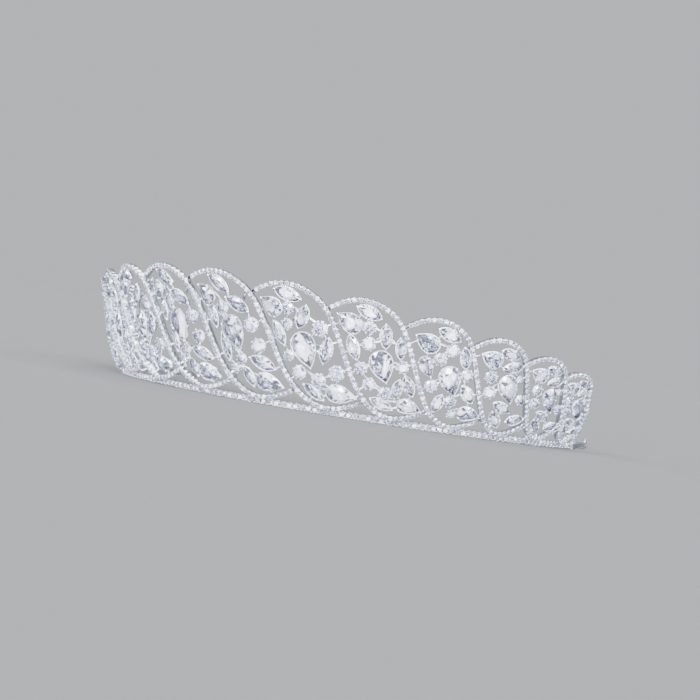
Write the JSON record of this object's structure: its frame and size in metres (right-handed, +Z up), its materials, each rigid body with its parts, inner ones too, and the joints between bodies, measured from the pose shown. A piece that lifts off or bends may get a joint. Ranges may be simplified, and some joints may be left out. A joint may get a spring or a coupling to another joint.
{
  "type": "diamond tiara",
  "caption": "Open tiara of leaning diamond-set scrolls on a curved rim, with pear, marquise and round stones in the cells and small rings for hair fastenings.",
  "frame": {"origin": "front middle of the rim's underside, where the tiara rests", "axes": "+X right as the front is seen, +Y from the front to the open back, +Z up"},
  "size_m": [0.1667, 0.1147, 0.0362],
  "materials": {
    "metal": "polished rhodium-bright white gold",
    "diamond": "polished, faceted"
  },
  "bodies": {
    "root": {"frame": "metal", "marquises": "diamond", "rounds": "diamond", "upper_pear_1": "diamond", "upper_pear_2": "diamond", "upper_pear_3": "diamond", "upper_pear_4": "diamond", "upper_pear_5": "diamond", "upper_pear_6": "diamond", "upper_pear_7": "diamond", "upper_pear_8": "diamond", "upper_pear_9": "diamond", "upper_pear_10": "diamond", "upper_pear_11": "diamond", "upper_pear_12": "diamond", "upper_pear_13": "diamond", "upper_pear_14": "diamond", "centre_pear_1": "diamond", "centre_pear_2": "diamond", "centre_pear_3": "diamond", "centre_pear_4": "diamond", "centre_pear_5": "diamond", "centre_pear_6": "diamond", "centre_pear_7": "diamond", "centre_pear_8": "diamond", "centre_pear_9": "diamond", "centre_pear_10": "diamond", "centre_pear_11": "diamond", "centre_pear_12": "diamond", "centre_pear_13": "diamond", "centre_pear_14": "diamond", "lower_pear_1": "diamond", "lower_pear_2": "diamond", "lower_pear_3": "diamond", "lower_pear_4": "diamond", "lower_pear_5": "diamond", "lower_pear_6": "diamond", "lower_pear_7": "diamond", "lower_pear_8": "diamond", "side_pear_1": "diamond", "side_pear_2": "diamond"}
  },
  "joints": []
}
